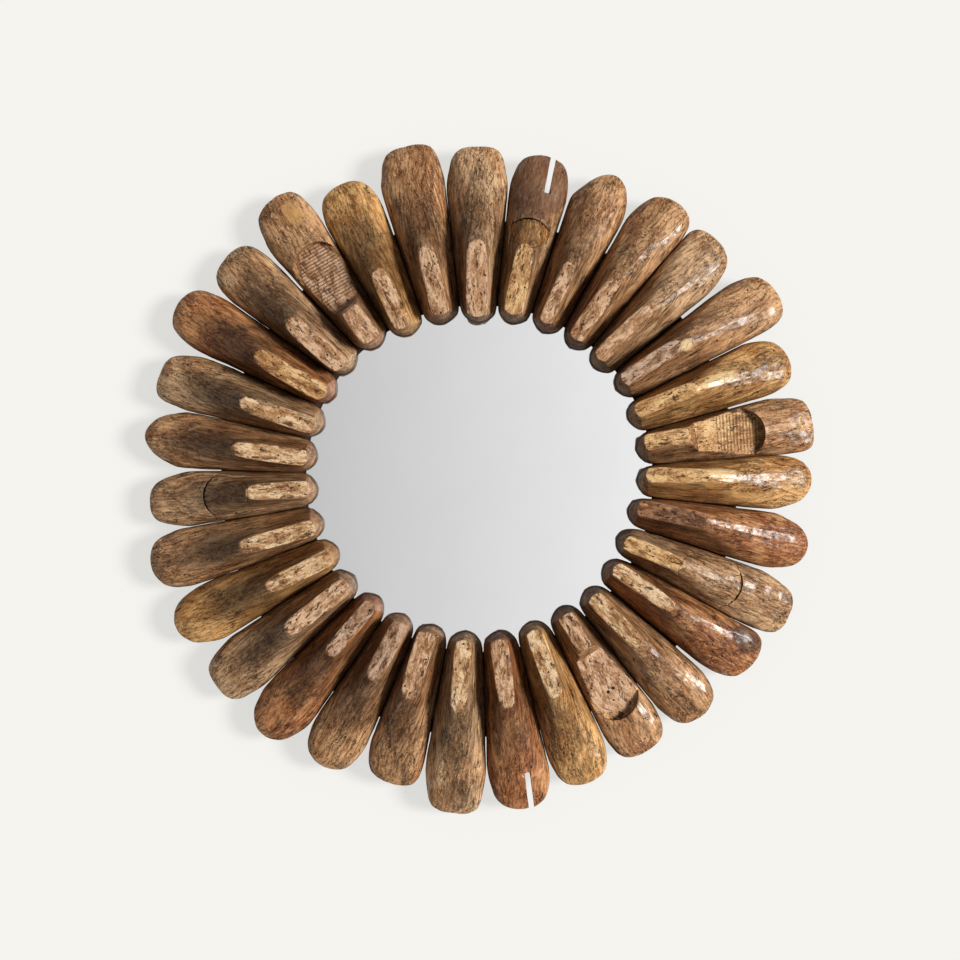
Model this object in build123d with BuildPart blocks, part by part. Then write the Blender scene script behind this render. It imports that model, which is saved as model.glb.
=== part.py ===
"""A round wall mirror framed by a ring of reclaimed wooden shoe lasts.

The lasts stand side by side like the petals of a flower: heels over the edge of the
glass, toes outward, soles against a round board. Each one is lofted from contours, as
a hill is drawn from its contour lines, from the flat planed sole up to the narrow sawn
top of the cone. Lengths are in millimetres and angles in degrees.

The origin is the centre of the board's back face, which lies on the wall. +Z is up,
+X is right and -Y points from the wall into the room.
"""

import math
import os
from dataclasses import dataclass

from build123d import *

# The backing: a round board, a spacer ring on it, and the glass inside the ring.
BOARD_RADIUS = 388.0
BOARD_THICKNESS = 15.0
BOARD_EDGE_CHAMFER = 2.0
GLASS_RADIUS = 260.0
GLASS_THICKNESS = 4.0
GLASS_EDGE_BEVEL = 0.6
PAD_THICKNESS = 0.8
PAD_LENGTH = 60.0
PAD_WIDTH = 20.0
PAD_CIRCLE_RADIUS = 180.0
PAD_COUNT = 8
RING_THICKNESS = 5.0
RING_CLEARANCE = 1.0
RING_OUTER_RADIUS = 384.0

# The two keyhole plates that the mirror hangs from, let into the back of the board.
HANGER_SPACING = 320.0
HANGER_HEIGHT = 200.0
PLATE_LENGTH = 60.0
PLATE_WIDTH = 24.0
PLATE_THICKNESS = 2.0
KEYHOLE_RADIUS = 5.5
KEYHOLE_SLOT_WIDTH = 5.0
KEYHOLE_SLOT_LENGTH = 13.0
POCKET_DEPTH = 9.0
POCKET_WIDTH = 16.0
POCKET_LENGTH = 34.0
PLATE_SCREW_SPACING = 48.0
PLATE_SCREW_RADIUS = 1.75
PLATE_SCREW_HEAD_RADIUS = 3.3
PLATE_SCREW_LENGTH = 11.0

# How the lasts fill the ring.
SIDE_GAP = 1.0
SEAT_Y = -(BOARD_THICKNESS + RING_THICKNESS)
# The cut that parts the cone block from the body of a last. Seen from the side it drops
# from the front of the cone top to a shoulder, then falls gently to a floor. Seen from
# above its front end is round, and follows a part of the toe's sideways shift. Shoulder
# and floor are shares of the last's height.
CUT_SETBACK = 2.0
CUT_SHOULDER = 0.60
CUT_SHOULDER_RUN = 14.0
CUT_FLOOR = 0.30
CUT_FRONT_RADIUS = 38.0
CUT_OVERSHOOT = 1.0
CUT_FRONT_SHIFT = 0.4
SAW_KERF = 0.5
SIDE_REACH = 60.0
HEADROOM = 30.0

# The slot sawn into the toe of some lasts.
SLOT_WIDTH = 8.0
SLOT_DEPTH = 57.0

# Where a contour's straight sides begin and end, as shares of its length from the heel.
HEEL_STATION = 0.10
BALL_STATION = 0.74
BALL_SHARE = 0.985
HEEL_CORNER_STATION = 0.02
HEEL_CORNER_SHARE = 0.56

# The toe's own stations past the ball, each with its half width as a share of the ball's.
TOE_STYLES = {
    "round": ((0.87, 0.94), (0.950, 0.77), (0.985, 0.46)),
    "wide": ((0.88, 0.97), (0.950, 0.85), (0.983, 0.60)),
    "square": ((0.87, 0.92), (0.950, 0.81), (0.988, 0.62)),
    "blunt": ((0.88, 0.97), (0.955, 0.92), (0.988, 0.77)),
    "narrow": ((0.86, 0.87), (0.945, 0.72), (0.986, 0.52)),
    "almond": ((0.86, 0.90), (0.945, 0.69), (0.984, 0.40)),
    "pointed": ((0.85, 0.86), (0.940, 0.60), (0.982, 0.33)),
    "dome": ((0.86, 0.92), (0.940, 0.77), (0.983, 0.48)),
}


@dataclass
class Level:
    """One contour of a last: how high it lies, how far it reaches and how full it is."""

    height: float
    heel_inset: float
    reach: float
    fill: float
    waist: float
    style: str = ""


# Heights and fills are shares of the last's own height and of its room in the ring.
# Heel insets are shares of its heel bulge. Reach is 0 at the front of the cone top and
# 1 at the toe: the lowest level falls short of it, which is the toe's spring.
LEVELS = (
    Level(height=0.00, heel_inset=0.7, reach=0.80, fill=0.78, waist=0.92),
    Level(height=0.12, heel_inset=0.1, reach=0.995, fill=1.00, waist=0.985),
    Level(height=0.25, heel_inset=0.0, reach=1.00, fill=0.99, waist=0.985),
    Level(height=0.37, heel_inset=0.15, reach=0.90, fill=0.86, waist=0.93),
    Level(height=0.52, heel_inset=0.4, reach=0.64, fill=0.62, waist=0.93, style="dome"),
    Level(height=0.70, heel_inset=0.65, reach=0.37, fill=0.34, waist=0.97, style="dome"),
    Level(height=0.87, heel_inset=0.9, reach=0.14, fill=0.13, waist=1.0, style="dome"),
    Level(height=1.00, heel_inset=1.0, reach=0.00, fill=0.00, waist=1.04, style="dome"),
)

# Each last is finished in flats, as a drawknife leaves it: this many round the heel
# and round the toe.
HEEL_FLATS = 6
TOE_FLATS = 12


@dataclass
class Last:
    """One shoe last of the ring, by the sizes that set it apart from the others."""

    angle: float
    heel: float
    toe: float
    top_end: float
    style: str = "round"
    tip_shift: float = 0.0
    top_shift: float = 0.0
    top_width: float = 23.0
    height: float = 78.0
    heel_bulge: float = 8.0
    cut: str = "none"
    cut_end: float = 0.0
    slot_shift: float = 0.0


# Angles run clockwise from the top as the viewer sees them. Heel, toe, top_end and
# cut_end are distances from the mirror's centre, shifts are sideways, clockwise positive.
LASTS = (
    Last(0.0, 232, 495, 346, "square", 0, -4, top_width=31, heel_bulge=3),
    Last(11.5, 235, 492, 346, "round", 0, -1, top_width=28, cut="block", cut_end=390, slot_shift=13),
    Last(23.5, 237, 496, 340, "pointed", 7, -3, top_width=21),
    Last(34.7, 237, 507, 350, "round", 9, -2, top_width=24),
    Last(46.0, 237, 502, 350, "wide", -10, -6, top_width=23),
    Last(57.2, 243, 523, 350, "wide", 8, -7, top_width=23, height=80),
    Last(68.3, 238, 495, 343, "round", 5, -7, top_width=22),
    Last(79.8, 237, 502, 313, "blunt", 8, -9, top_width=23, cut="sawn", cut_end=428),
    Last(91.0, 234, 496, 335, "almond", -5, -10, top_width=22),
    Last(101.8, 225, 501, 335, "almond", 2, -6, top_width=25),
    Last(113.2, 222, 505, 320, "square", 6, 1, top_width=23, cut="block", cut_end=420),
    Last(124.8, 226, 493, 340, "wide", -11, -6, top_width=22),
    Last(136.5, 229, 486, 335, "round", 0, -2, top_width=25),
    Last(148.3, 226, 478, 295, "wide", 0, -1, top_width=24, cut="sawn", cut_end=414, height=74),
    Last(160.5, 226, 483, 337, "round", 0, 0, top_width=25),
    Last(172.5, 228, 498, 335, "round", -3, 3, top_width=26, slot_shift=-13),
    Last(185.0, 228, 501, 340, "square", -5, 2, top_width=25),
    Last(197.0, 228, 474, 335, "wide", -6, 7, top_width=28, height=75),
    Last(208.7, 231, 489, 331, "round", 0, -2, top_width=26),
    Last(220.3, 231, 501, 337, "almond", 0, 2, top_width=23),
    Last(232.0, 237, 499, 358, "square", -4, -3, top_width=27, height=80),
    Last(243.7, 235, 505, 347, "almond", 0, -6, top_width=25),
    Last(255.0, 241, 507, 362, "round", 0, -7, top_width=24, height=80),
    Last(266.3, 241, 493, 340, "narrow", -5, 1, top_width=24, cut="block", cut_end=408),
    Last(277.5, 244, 504, 362, "pointed", 0, -4, top_width=24),
    Last(288.7, 244, 501, 365, "square", -7, -6, top_width=25, height=80),
    Last(299.9, 247, 521, 372, "round", 0, -6, top_width=28, height=81),
    Last(310.9, 249, 502, 362, "wide", 0, -8, top_width=28),
    Last(322.5, 247, 517, 313, "square", 7, -1, top_width=30, cut="sawn", cut_end=429, height=80),
    Last(334.5, 237, 486, 338, "round", 0, -5, top_width=26),
    Last(346.8, 236, 507, 346, "square", 6, 0, top_width=27),
)


def last_plane(last, height=0.0):
    """The plane of a last's contour: x runs out to the toe and y is clockwise."""
    turn = math.radians(last.angle)
    return Plane(
        origin=(0, SEAT_Y - height, 0),
        x_dir=(math.sin(turn), 0, math.cos(turn)),
        z_dir=(0, 1, 0),
    )


def side_plane(last):
    """The upright plane along a last's middle: x runs out to the toe and y is height."""
    flat = last_plane(last)
    return Plane(origin=flat.origin, x_dir=flat.x_dir, z_dir=flat.y_dir)


def half_angles(number):
    """The half angles of a last's wedge, anticlockwise and clockwise of its middle."""
    here = LASTS[number].angle
    before = LASTS[number - 1].angle
    after = LASTS[(number + 1) % len(LASTS)].angle
    return ((here - before) % 360) / 2, ((after - here) % 360) / 2


def contour(number, level):
    """One closed outline: a rounded heel, two straight sides and the toe."""
    last = LASTS[number]
    back = last.heel + level.heel_inset * last.heel_bulge
    front = last.top_end + level.reach * (last.toe - last.top_end)
    toe_style = TOE_STYLES[level.style or last.style]
    top_half = last.top_width / 2
    ball_radius = back + BALL_STATION * (front - back)

    def shift(radius):
        along = max(0.0, (radius - last.top_end) / (last.toe - last.top_end))
        return last.top_shift * level.height**2 + last.tip_shift * along**2

    def edge(station, share, side, widest_at=None):
        """A point of one side: its width is a share of what the contour may fill."""
        radius = back + station * (front - back)
        slope = math.tan(math.radians(half_angles(number)[side > 0]))
        room = radius * slope - SIDE_GAP / 2
        widest = (widest_at or radius) * slope - SIDE_GAP / 2
        half = share * (top_half + level.fill * (widest - top_half))
        offset = shift(radius) + side * half
        return radius, max(-room, min(room, offset))

    def side_points(side):
        heel = edge(HEEL_STATION, level.waist, side)
        ball = edge(BALL_STATION, BALL_SHARE, side)
        toe = [edge(at, share * BALL_SHARE, side, ball_radius) for at, share in toe_style]
        corner = edge(HEEL_CORNER_STATION, HEEL_CORNER_SHARE, side)
        return corner, heel, ball, toe

    corner_a, heel_a, ball_a, toe_a = side_points(-1)
    corner_c, heel_c, ball_c, toe_c = side_points(1)
    along_a = Vector(*ball_a) - Vector(*heel_a)
    along_c = Vector(*ball_c) - Vector(*heel_c)
    with BuildLine():
        heel = Spline(heel_a, corner_a, (back, shift(back)), corner_c, heel_c, tangents=[-along_a, along_c])
        toe = Spline(
            ball_c, *toe_c, (front, shift(front)), *reversed(toe_a), ball_a,
            tangents=[along_c, -along_a],
        )
    corners = [heel @ (flat / HEEL_FLATS) for flat in range(HEEL_FLATS + 1)]
    corners += [toe @ (flat / TOE_FLATS) for flat in range(TOE_FLATS + 1)]
    with BuildSketch(last_plane(last, level.height * last.height)) as outline:
        with BuildLine():
            Polyline(*corners, close=True)
        make_face()
    return outline.sketch


def contours(number):
    """The outlines of one last, one above the other from the sole up."""
    return [contour(number, level) for level in LEVELS]


def cut_profile(last, kerf):
    """The side view of the cone block, or with no kerf of the cut that frees it."""
    back = last.top_end - CUT_SETBACK + kerf
    roof = last.height + HEADROOM
    shoulder = CUT_SHOULDER * last.height + kerf
    floor = CUT_FLOOR * last.height + kerf
    with BuildSketch(side_plane(last)) as profile:
        with BuildLine():
            Polyline(
                (back, roof),
                (back, last.height + CUT_OVERSHOOT),
                (back + CUT_SHOULDER_RUN, shoulder),
                (last.cut_end, floor),
                (last.cut_end, roof),
                close=True,
            )
        make_face()
    return profile.sketch


def cut_outline(last, kerf):
    """The top view of the same: straight towards the heel, and round at its front end."""
    middle = last.cut_end - CUT_FRONT_RADIUS
    with BuildSketch(last_plane(last, -HEADROOM)) as outline:
        with Locations((middle, last.tip_shift * CUT_FRONT_SHIFT)):
            Circle(CUT_FRONT_RADIUS - kerf)
        with Locations((last.heel, 0)):
            Rectangle(2 * (middle - last.heel), 2 * SIDE_REACH)
    return outline.sketch


def cut_depth(last):
    """How far a cut drawn from above has to run to pass right through a last."""
    return last.height + 2 * HEADROOM


def toe_slot(last):
    """The slot sawn into the toe from its tip, seen from above."""
    with BuildSketch(last_plane(last, -HEADROOM)) as slot:
        with Locations((last.toe, last.slot_shift)):
            Rectangle(2 * SLOT_DEPTH, SLOT_WIDTH)
    return slot.sketch


def write(part, label):
    """Label a finished piece and write it as its own file."""
    part.label = label
    export_step(part, f"parts/{label}.step")


os.makedirs("parts", exist_ok=True)

# The thirty-one lasts, and the cone blocks of those that still have theirs.
for number, last in enumerate(LASTS):
    with BuildPart() as body:
        loft(contours(number), ruled=True)
        if last.cut != "none":
            with BuildPart(mode=Mode.SUBTRACT):
                extrude(cut_profile(last, 0.0), amount=SIDE_REACH, both=True)
                extrude(cut_outline(last, 0.0), amount=-cut_depth(last), mode=Mode.INTERSECT)
        if last.slot_shift:
            extrude(toe_slot(last), amount=-cut_depth(last), mode=Mode.SUBTRACT)
    write(body.part, f"last_{number + 1:02d}")

    if last.cut == "block":
        with BuildPart() as block:
            loft(contours(number), ruled=True)
            extrude(cut_profile(last, SAW_KERF), amount=SIDE_REACH, both=True, mode=Mode.INTERSECT)
            extrude(cut_outline(last, SAW_KERF), amount=-cut_depth(last), mode=Mode.INTERSECT)
        write(block.part, f"cone_block_{number + 1:02d}")

# The board, with a pocket for each hanger plate and a deeper one for its screw head.
hanger_places = [(-HANGER_SPACING / 2, HANGER_HEIGHT), (HANGER_SPACING / 2, HANGER_HEIGHT)]
plate_screw_places = [(0, PLATE_SCREW_SPACING / 2), (0, -PLATE_SCREW_SPACING / 2)]
back_plane = Plane(origin=(0, 0, 0), x_dir=(1, 0, 0), z_dir=(0, -1, 0))

with BuildPart() as back_board:
    with BuildSketch(back_plane):
        Circle(BOARD_RADIUS)
    extrude(amount=BOARD_THICKNESS)
    chamfer(back_board.edges().sort_by(Axis.Y)[0], BOARD_EDGE_CHAMFER)
    with BuildSketch(back_plane):
        with Locations(*hanger_places):
            Rectangle(PLATE_WIDTH, PLATE_LENGTH)
    extrude(amount=PLATE_THICKNESS, mode=Mode.SUBTRACT)
    with BuildSketch(back_plane):
        with Locations(*hanger_places):
            Rectangle(POCKET_WIDTH, POCKET_LENGTH)
    extrude(amount=POCKET_DEPTH, mode=Mode.SUBTRACT)
    with BuildSketch(back_plane.offset(PLATE_THICKNESS)):
        with Locations(*hanger_places):
            with Locations(*plate_screw_places):
                Circle(PLATE_SCREW_RADIUS)
    extrude(amount=PLATE_SCREW_LENGTH - PLATE_THICKNESS, mode=Mode.SUBTRACT)
write(back_board.part, "back_board")

with BuildPart() as spacer_ring:
    with BuildSketch(back_plane.offset(BOARD_THICKNESS)):
        Circle(RING_OUTER_RADIUS)
        Circle(GLASS_RADIUS + RING_CLEARANCE, mode=Mode.SUBTRACT)
    extrude(amount=RING_THICKNESS)
write(spacer_ring.part, "spacer_ring")

with BuildPart() as glue_pads:
    with BuildSketch(back_plane.offset(BOARD_THICKNESS)):
        with PolarLocations(PAD_CIRCLE_RADIUS, PAD_COUNT):
            Rectangle(PAD_WIDTH, PAD_LENGTH)
    extrude(amount=PAD_THICKNESS)
write(glue_pads.part, "glue_pads")

with BuildPart() as mirror_glass:
    with BuildSketch(back_plane.offset(BOARD_THICKNESS + PAD_THICKNESS)):
        Circle(GLASS_RADIUS)
    extrude(amount=GLASS_THICKNESS)
    chamfer(mirror_glass.edges().group_by(Axis.Y)[0], GLASS_EDGE_BEVEL)
write(mirror_glass.part, "mirror_glass")

for side, place in zip(("left", "right"), hanger_places):
    with BuildPart() as hanger_plate:
        with BuildSketch(back_plane):
            with Locations(place):
                Rectangle(PLATE_WIDTH, PLATE_LENGTH)
                Circle(KEYHOLE_RADIUS, mode=Mode.SUBTRACT)
                with Locations((0, KEYHOLE_SLOT_LENGTH / 2)):
                    Rectangle(KEYHOLE_SLOT_WIDTH, KEYHOLE_SLOT_LENGTH, mode=Mode.SUBTRACT)
                with Locations((0, KEYHOLE_SLOT_LENGTH)):
                    Circle(KEYHOLE_SLOT_WIDTH / 2, mode=Mode.SUBTRACT)
        extrude(amount=PLATE_THICKNESS)
        with Locations(back_plane):
            with Locations(place):
                with Locations(*plate_screw_places):
                    CounterSinkHole(PLATE_SCREW_RADIUS, PLATE_SCREW_HEAD_RADIUS, PLATE_THICKNESS, 90)
    write(hanger_plate.part, f"hanger_plate_{side}")

with BuildPart() as plate_screws:
    with BuildSketch(back_plane):
        with Locations(*hanger_places):
            with Locations(*plate_screw_places):
                Circle(PLATE_SCREW_HEAD_RADIUS)
    extrude(amount=PLATE_SCREW_HEAD_RADIUS - PLATE_SCREW_RADIUS, taper=45)
    with BuildSketch(back_plane):
        with Locations(*hanger_places):
            with Locations(*plate_screw_places):
                Circle(PLATE_SCREW_RADIUS)
    extrude(amount=PLATE_SCREW_LENGTH)
write(plate_screws.part, "plate_screws")
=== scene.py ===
"""Dresses a round wall mirror whose frame is a ring of old wooden shoe lasts.

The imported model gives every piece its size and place. Each last is refined here from
its own solid: smoothed, worn and chipped, and given old varnished wood with the raw
sawn top of its cone. The backing, the glass and the hangers keep their solids.
"""

import logging
import math
from dataclasses import dataclass, field
from enum import Enum

import bmesh
import bpy
import numpy as np
from mathutils import Matrix, Vector

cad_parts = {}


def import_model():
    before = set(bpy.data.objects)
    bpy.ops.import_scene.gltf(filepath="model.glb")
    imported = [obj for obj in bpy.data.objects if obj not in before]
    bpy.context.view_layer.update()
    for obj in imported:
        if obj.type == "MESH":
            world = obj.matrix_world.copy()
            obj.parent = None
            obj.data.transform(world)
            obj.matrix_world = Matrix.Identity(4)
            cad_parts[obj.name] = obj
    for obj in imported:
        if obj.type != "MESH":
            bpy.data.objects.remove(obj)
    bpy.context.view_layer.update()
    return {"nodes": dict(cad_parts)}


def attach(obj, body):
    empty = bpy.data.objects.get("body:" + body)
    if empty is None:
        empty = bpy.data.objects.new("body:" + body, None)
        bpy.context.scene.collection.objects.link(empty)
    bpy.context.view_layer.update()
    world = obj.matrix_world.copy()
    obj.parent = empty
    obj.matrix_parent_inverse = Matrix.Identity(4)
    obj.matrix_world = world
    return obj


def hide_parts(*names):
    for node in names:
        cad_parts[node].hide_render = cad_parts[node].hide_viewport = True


LOG = logging.getLogger("lasts_mirror")
MM = 0.001

Triple = tuple[float, float, float]
Colour = Triple


class Wire:
    """A shader value that can be written in sums, as numbers can."""

    def __init__(self, bench: "Bench", socket: bpy.types.NodeSocket) -> None:
        """Keep the socket and the bench that its sums are built on."""
        self.bench = bench
        self.socket = socket

    def maths(self, operation: str, *others: "Wire | float", clamp: bool = False) -> "Wire":
        """Put this value through one Math node.

        Args:
            operation: the Math node's operation.
            others: its second and third values.
            clamp: whether the result is kept from 0 to 1.

        Returns:
            The node's value.
        """
        inputs = {0: self}
        inputs.update({place + 1: other for place, other in enumerate(others)})
        settings = {"operation": operation, "use_clamp": clamp}
        return self.bench.node("ShaderNodeMath", settings, inputs)

    def __add__(self, other: "Wire | float") -> "Wire":
        """Add."""
        return self.maths("ADD", other)

    __radd__ = __add__

    def __mul__(self, other: "Wire | float") -> "Wire":
        """Multiply."""
        return self.maths("MULTIPLY", other)

    __rmul__ = __mul__

    def __sub__(self, other: "Wire | float") -> "Wire":
        """Subtract."""
        return self.maths("SUBTRACT", other)

    def __rsub__(self, other: float) -> "Wire":
        """Subtract from a number."""
        return (self * -1.0) + other

    def __truediv__(self, other: "Wire | float") -> "Wire":
        """Divide."""
        return self.maths("DIVIDE", other)

    def __pow__(self, other: "Wire | float") -> "Wire":
        """Raise to a power."""
        return self.maths("POWER", other)

    def clamped(self) -> "Wire":
        """The value kept from 0 to 1."""
        return self.maths("ADD", 0.0, clamp=True)

    def step(self, low: float, high: float) -> "Wire":
        """A smooth step.

        Args:
            low: where the value is 0.
            high: where it is 1, which may be the smaller of the two.

        Returns:
            The stepped value.
        """
        settings = {"interpolation_type": "SMOOTHSTEP"}
        if low < high:
            return self.bench.node("ShaderNodeMapRange", settings, {0: self, 1: low, 2: high})
        return 1.0 - self.bench.node("ShaderNodeMapRange", settings, {0: self, 1: high, 2: low})


class Bench:
    """Builds the nodes of one material."""

    MIX_SHARE, MIX_FIRST, MIX_SECOND, MIX_RESULT = 0, 6, 7, 2

    def __init__(self, name: str) -> None:
        """Start an empty material.

        Args:
            name: the finish's name.
        """
        self.material = bpy.data.materials.new(name)
        self.material.use_nodes = True
        self.tree = self.material.node_tree
        self.tree.nodes.clear()

    def node(self, kind: str, settings: dict, inputs: dict, output: int | str = 0) -> Wire:
        """Add one node.

        Args:
            kind: the node's type.
            settings: its properties, set before its sockets.
            inputs: values or wires by socket place or name.
            output: which output is wanted.

        Returns:
            The wanted output.
        """
        made = self.tree.nodes.new(kind)
        for key, value in settings.items():
            setattr(made, key, value)
        for key, value in inputs.items():
            socket = made.inputs[key]
            if isinstance(value, Wire):
                self.tree.links.new(value.socket, socket)
            else:
                socket.default_value = value
        return Wire(self, made.outputs[output])

    def mix(self, share: Wire | float, first: Wire | Colour, second: Wire | Colour) -> Wire:
        """Blend two colours.

        Args:
            share: how much of the second shows.
            first: the colour at 0.
            second: the colour at 1.

        Returns:
            The blended colour.
        """
        settings = {"data_type": "RGBA", "blend_type": "MIX"}
        inputs = {self.MIX_SHARE: share, self.MIX_FIRST: self._opaque(first),
                  self.MIX_SECOND: self._opaque(second)}
        return self.node("ShaderNodeMix", settings, inputs, self.MIX_RESULT)

    def layered(self, tone: Wire, layers: list[tuple[Wire, Colour]]) -> Wire:
        """Lay colours over one another.

        Args:
            tone: the ground.
            layers: how much of each colour shows, and the colour, from the lowest up.

        Returns:
            The colour that shows in the end.
        """
        for share, colour in layers:
            tone = self.mix(share, tone, colour)
        return tone

    @staticmethod
    def _opaque(colour: Wire | Colour) -> Wire | tuple[float, ...]:
        """A plain colour with full alpha, or a wire as it is."""
        return colour if isinstance(colour, Wire) else (*colour, 1.0)

    def place(self) -> Wire:
        """A point's place in the object's own frame."""
        return self.node("ShaderNodeTexCoord", {}, {}, "Object")

    def attribute(self, name: str, output: str = "Vector") -> Wire:
        """Read one of the mesh's own attributes."""
        settings = {"attribute_type": "GEOMETRY", "attribute_name": name}
        return self.node("ShaderNodeAttribute", settings, {}, output)

    def scaled(self, vector: Wire, scale: Triple, shift: Triple = (0.0, 0.0, 0.0)) -> Wire:
        """Stretch and move a vector.

        Args:
            vector: the vector.
            scale: its factors along X, Y and Z.
            shift: what is added afterwards.

        Returns:
            The new vector.
        """
        settings = {"operation": "MULTIPLY_ADD"}
        return self.node("ShaderNodeVectorMath", settings, {0: vector, 1: scale, 2: shift})

    def clouds(self, vector: Wire, scale: float, detail: float = 4.0, rough: float = 0.55,
               bend: float = 0.0) -> Wire:
        """Noise from 0 to 1.

        Args:
            vector: where it is read.
            scale: how fine it is.
            detail: how many finer layers it has.
            rough: how strong they are.
            bend: how far it is distorted.

        Returns:
            The noise value.
        """
        inputs = {"Vector": vector, "Scale": scale, "Detail": detail, "Roughness": rough,
                  "Distortion": bend}
        return self.node("ShaderNodeTexNoise", {"normalize": True}, inputs, "Fac")

    def cells(self, vector: Wire, scale: float, output: str = "Distance") -> Wire:
        """Distance from the nearest of many scattered points, or another cell output."""
        inputs = {"Vector": vector, "Scale": scale}
        return self.node("ShaderNodeTexVoronoi", {"feature": "F1"}, inputs, output)

    def separate(self, vector: Wire) -> tuple[Wire, Wire, Wire]:
        """Take a vector apart.

        Args:
            vector: the vector.

        Returns:
            Its X, Y and Z.
        """
        made = self.node("ShaderNodeSeparateXYZ", {}, {0: vector})
        outputs = made.socket.node.outputs
        return tuple(Wire(self, outputs[place]) for place in range(3))

    def bump(self, height: Wire, depth: float, strength: float = 1.0) -> Wire:
        """Surface relief.

        Args:
            height: the relief from 0 to 1.
            depth: what 1 stands for, in metres.
            strength: how much of it shows.

        Returns:
            The bent normal.
        """
        inputs = {"Height": height, "Distance": depth, "Strength": strength}
        return self.node("ShaderNodeBump", {}, inputs)

    def finish(self, colour: Wire | Colour, rough: Wire | float, normal: Wire | None = None,
               **constants: float | Wire) -> bpy.types.Material:
        """Close the material with one Principled shader.

        Args:
            colour: the base colour.
            rough: the roughness.
            normal: the surface relief.
            constants: other sockets by name, with underscores for spaces.

        Returns:
            The finished material.
        """
        inputs = {"Base Color": self._opaque(colour), "Roughness": rough}
        inputs.update({key.replace("_", " "): value for key, value in constants.items()})
        if normal is not None:
            inputs["Normal"] = normal
        shader = self.node("ShaderNodeBsdfPrincipled", {}, inputs)
        self.node_output(shader)
        return self.material

    def node_output(self, shader: Wire) -> None:
        """Link a shader to the material's output."""
        out = self.tree.nodes.new("ShaderNodeOutputMaterial")
        self.tree.links.new(shader.socket, out.inputs["Surface"])


@dataclass(frozen=True)
class Pattern:
    """One layer of noise in the wood, with its fineness along, across and up the grain."""

    scale: Triple
    detail: float = 4.0
    rough: float = 0.55
    bend: float = 0.0
    shift: Triple = (0.0, 0.0, 0.0)

    def on(self, bench: Bench, place: Wire) -> Wire:
        """The layer's noise, from 0 to 1, at a place in the wood."""
        spread = bench.scaled(place, self.scale, self.shift)
        return bench.clouds(spread, 1.0, self.detail, self.rough, self.bend)


@dataclass(frozen=True)
class Holes:
    """Scattered round holes in the wood.

    The scale is their number to the metre, and the rarity is the share of them that is
    left out. The outer and the inner radius, in parts of their spacing, are where a hole
    begins and where it is full.
    """

    scale: float
    channel: int
    rarity: float
    outer: float
    inner: float

    SPREAD = 0.02

    def on(self, bench: Bench, place: Wire) -> Wire:
        """Find the holes.

        Args:
            bench: the material's bench.
            place: the place in the wood.

        Returns:
            1 in a hole and 0 beside it.
        """
        chance = bench.separate(bench.cells(place, self.scale, "Color"))[self.channel]
        hole = bench.cells(place, self.scale).step(self.outer, self.inner)
        return hole * chance.step(self.rarity, self.rarity + self.SPREAD)


class WoodTone(Enum):
    """The varnished body of a last: its worn, its usual and its dark colour, for grime and painted
    shade.
    """

    AMBER = ((0.82, 0.45, 0.17), (0.52, 0.235, 0.072), (0.052, 0.017, 0.005))
    TAN = ((0.76, 0.47, 0.25), (0.47, 0.24, 0.105), (0.048, 0.019, 0.008))
    BROWN = ((0.70, 0.39, 0.185), (0.41, 0.185, 0.072), (0.036, 0.012, 0.005))
    RED = ((0.64, 0.30, 0.12), (0.36, 0.125, 0.042), (0.030, 0.008, 0.004))


class TopTone(Enum):
    """The raw sawn top of a cone: its clean and its stained colour."""

    CREAM = ((0.84, 0.60, 0.36), (0.50, 0.27, 0.12))
    STRAW = ((0.82, 0.53, 0.25), (0.50, 0.26, 0.10))
    PINK = ((0.74, 0.48, 0.30), (0.44, 0.235, 0.115))
    GREY = ((0.60, 0.41, 0.29), (0.33, 0.19, 0.11))
    DARK = ((0.32, 0.17, 0.10), (0.13, 0.058, 0.032))


@dataclass(frozen=True)
class Mark:
    """An oval mark on one last: a pale chip, a scorch, a drill hole, or the instep's soot with
    painted shade.

    Lengths are in millimetres: along is the distance from the mirror's centre, and
    across is clockwise.
    """

    along: float
    across: float
    length: float
    width: float
    colour: Colour
    share: float = 0.8
    fade: float = 0.15

    FRAY = 0.9

    def on(self, bench: Bench, grain: Wire, ragged: Wire, colour: Wire) -> Wire:
        """Lay the mark over a colour.

        Args:
            bench: the material's bench.
            grain: the place in the wood.
            ragged: noise that frays the mark's edge.
            colour: the colour beneath.

        Returns:
            The colour with the mark.
        """
        along, across, _ = bench.separate(grain)
        run = (along - self.along * MM) / (self.length * MM / 2)
        side = (across - self.across * MM) / (self.width * MM / 2)
        reach = ((run * run) + (side * side)).maths("SQRT") + (ragged - 0.5) * self.FRAY
        share = reach.step(1.0 + self.fade, 1.0 - self.fade) * self.share
        return bench.mix(share, colour, self.colour)


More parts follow.
